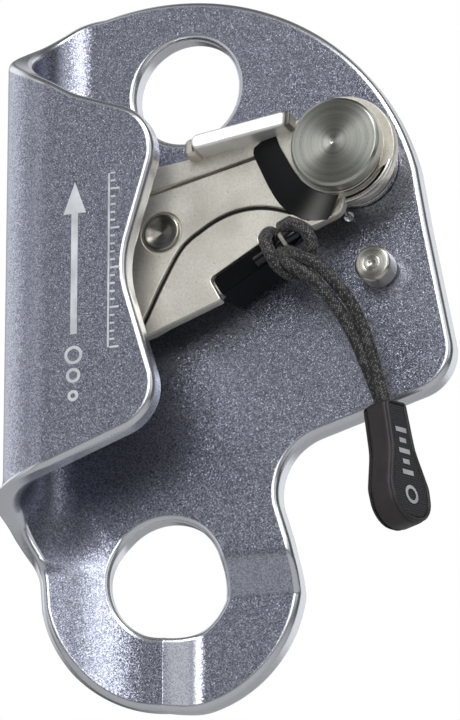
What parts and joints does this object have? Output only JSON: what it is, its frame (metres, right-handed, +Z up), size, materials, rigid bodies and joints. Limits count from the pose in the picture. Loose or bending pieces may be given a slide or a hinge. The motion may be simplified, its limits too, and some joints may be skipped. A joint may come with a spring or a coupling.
{
  "type": "camming rope clamp",
  "caption": "Hand-sized rope clamp: a bent plate frame with a rope channel and two eyes, a toothed cam on a headed axle, a thumb lever, a catch and a pull cord.",
  "frame": {"origin": "on the flat rear face of the plate, about midway between the upper and the lower eye", "axes": "+Z up the rope, +Y out of the rear face, +X from the rope channel towards the cam's axle"},
  "size_m": [0.0719, 0.0254, 0.1171],
  "materials": {
    "blasted_aluminium": "bead-blasted and clear anodised, with softly rounded edges",
    "turned_steel": "turned, with fine concentric tool lines",
    "bright_steel": "bright, fine turned",
    "cast_steel": "investment cast and tumbled, fine pitted grain",
    "bearing_bronze": "plain bearing bronze",
    "black_catch": "smooth black coating",
    "black_braid": "tight round braid with light flecks",
    "tab_rubber": "matt moulded rubber",
    "tab_webbing": "fine woven webbing insert"
  },
  "bodies": {
    "frame": {"frame_shell": "blasted_aluminium", "main_axle": "turned_steel", "front_washer": "bright_steel", "rear_washer": "bright_steel", "axle_tail_ring": "turned_steel", "stop_peg": "bright_steel", "peg_tail_ring": "bright_steel"},
    "cam": {"cam_body": "cast_steel", "thumb_lever": "cast_steel", "cam_rivet": "cast_steel", "cam_rivet_collar": "cast_steel", "axle_sleeve": "bearing_bronze", "catch_pin": "bright_steel", "cam_spring": "bright_steel"},
    "catch": {"safety_catch": "black_catch", "catch_sleeve": "bright_steel", "catch_spring": "bright_steel"},
    "cord": {"pull_cord": "black_braid"},
    "tab": {"tab_body": "tab_rubber", "tab_face_front": "tab_webbing", "tab_face_back": "tab_webbing", "cord_knot": "black_braid"}
  },
  "joints": [
    {"name": "cam_swing", "type": "hinge", "parent": "frame", "child": "cam", "pos_m": [0.0302, 0, 0.0238], "axis": [0, -1, 0], "range_deg": [0, 40], "stiffness_Nm_per_rad": 0.02, "springref_deg": -45.84, "deforming": ["cam_spring"]},
    {"name": "catch_turn", "type": "hinge", "parent": "cam", "child": "catch", "pos_m": [0.0112, 0, 0.004], "axis": [0, 1, 0], "range_deg": [0, 18], "stiffness_Nm_per_rad": 0.002, "springref_deg": -28.65, "deforming": ["catch_spring"]},
    {"name": "cord_swing", "type": "hinge", "parent": "catch", "child": "cord", "pos_m": [0.0214, -0.0132, 0.00963], "axis": [-0.8669, 0, -0.4985], "range_deg": [0, 50], "stiffness_Nm_per_rad": 0.001},
    {"name": "tab_swing", "type": "hinge", "parent": "cord", "child": "tab", "pos_m": [0.036, -0.0097, -0.017], "axis": [0, 1, 0], "range_deg": [-12, 12], "stiffness_Nm_per_rad": 0.001}
  ]
}
